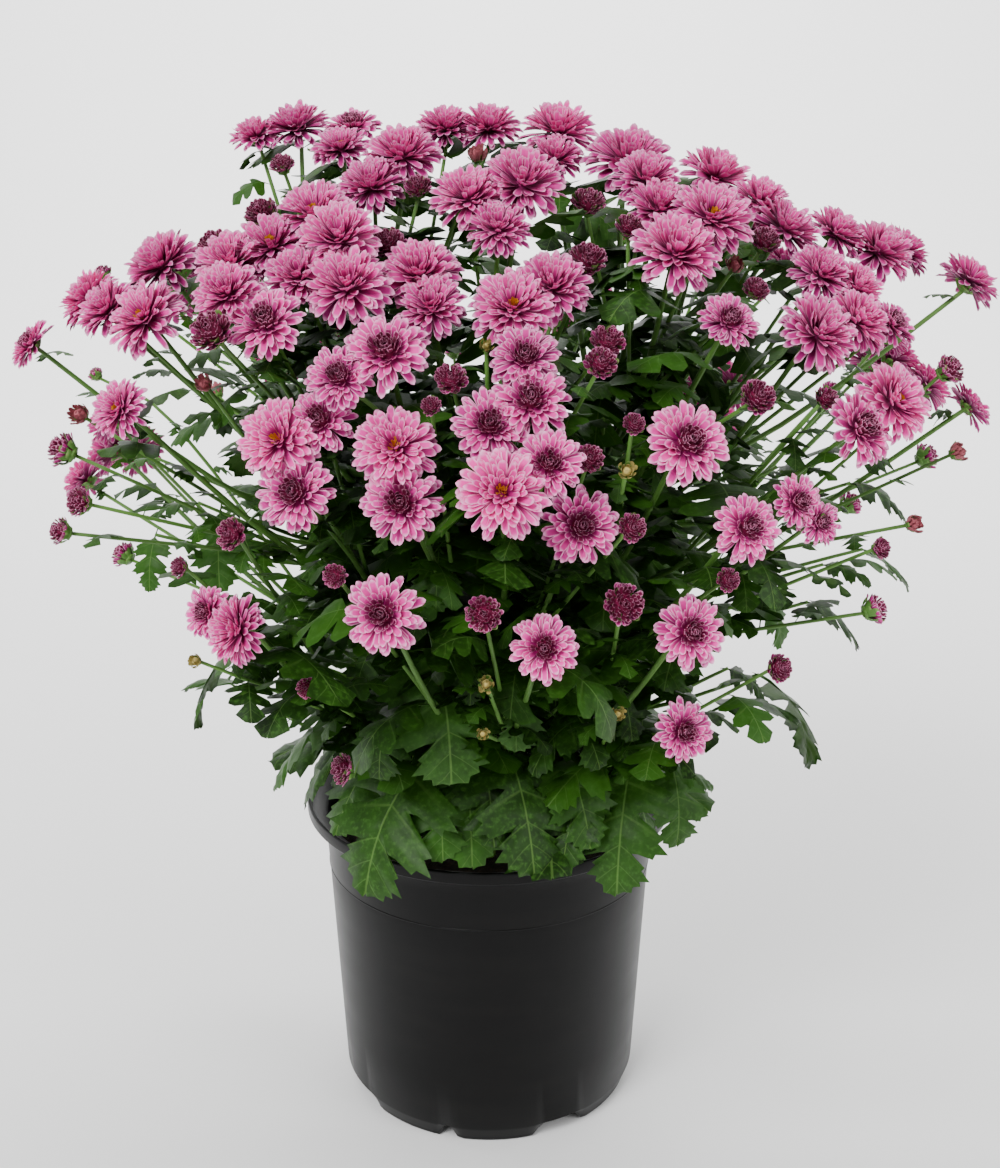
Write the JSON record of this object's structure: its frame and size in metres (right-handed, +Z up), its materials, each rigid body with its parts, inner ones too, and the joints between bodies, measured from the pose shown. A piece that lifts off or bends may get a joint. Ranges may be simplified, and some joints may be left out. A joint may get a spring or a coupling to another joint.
{
  "type": "pot chrysanthemum",
  "caption": "Bushy potted chrysanthemum with double pink blooms and buds over lobed dark green leaves, in a round black nursery pot with a flared lip and a scalloped foot.",
  "frame": {"origin": "centre of the pot's underside, on the surface it stands on", "axes": "+Z up the pot's axis; -Y towards the plant's best side, which faces the viewer; +X to the viewer's right"},
  "size_m": [0.5003, 0.4397, 0.5422],
  "materials": {
    "pot": "satin black polypropylene",
    "peat": "moist peat",
    "leaf_green": "satin leaf",
    "petal_pink": "matte petal"
  },
  "bodies": {
    "root": {"pot": "pot", "soil": "peat", "leafy_stem_1": "leaf_green", "leafy_stem_2": "leaf_green", "leafy_stem_3": "leaf_green", "leafy_stem_4": "leaf_green", "leafy_stem_5": "leaf_green", "leafy_stem_6": "leaf_green", "leafy_stem_7": "leaf_green", "leafy_stem_8": "leaf_green", "spray_crest_left": "petal_pink", "spray_crest_left_low": "petal_pink", "spray_crest_mid_left": "petal_pink", "spray_crest_mid": "petal_pink", "spray_crest_mid_right": "petal_pink", "spray_crown_mid": "petal_pink", "spray_crest_right": "petal_pink", "spray_crest_right_low": "petal_pink", "spray_crest_far_right": "petal_pink", "spray_left_top": "petal_pink", "spray_left_bank": "petal_pink", "spray_mid_bank": "petal_pink", "spray_mid_bank_right": "petal_pink", "spray_centre_top": "petal_pink", "spray_right_bank": "petal_pink", "spray_right_top": "petal_pink", "spray_right_shoulder": "petal_pink", "spray_right_back": "petal_pink", "spray_right_edge": "petal_pink", "spray_left_shoulder": "petal_pink", "spray_left_edge": "petal_pink", "spray_left_tip": "petal_pink", "spray_left_low": "petal_pink", "spray_centre_left": "petal_pink", "spray_centre": "petal_pink", "spray_front_left": "petal_pink", "spray_front_mid_left": "petal_pink", "spray_front_mid": "petal_pink", "spray_front_mid_right": "petal_pink", "spray_front_right": "petal_pink", "spray_right_small": "petal_pink", "spray_right_cluster": "petal_pink", "spray_right_low": "petal_pink", "spray_right_tip": "petal_pink", "spray_right_skirt": "petal_pink", "spray_right_pair": "petal_pink", "spray_low_right": "petal_pink", "spray_low_right_tip": "petal_pink", "spray_low_mid": "petal_pink", "spray_low_left": "petal_pink", "spray_low_left_edge": "petal_pink", "spray_far_1": "petal_pink", "spray_far_2": "petal_pink", "spray_far_3": "petal_pink", "spray_far_4": "petal_pink", "spray_far_5": "petal_pink", "spray_far_6": "petal_pink", "spray_far_7": "petal_pink", "spray_far_8": "petal_pink"}
  },
  "joints": []
}
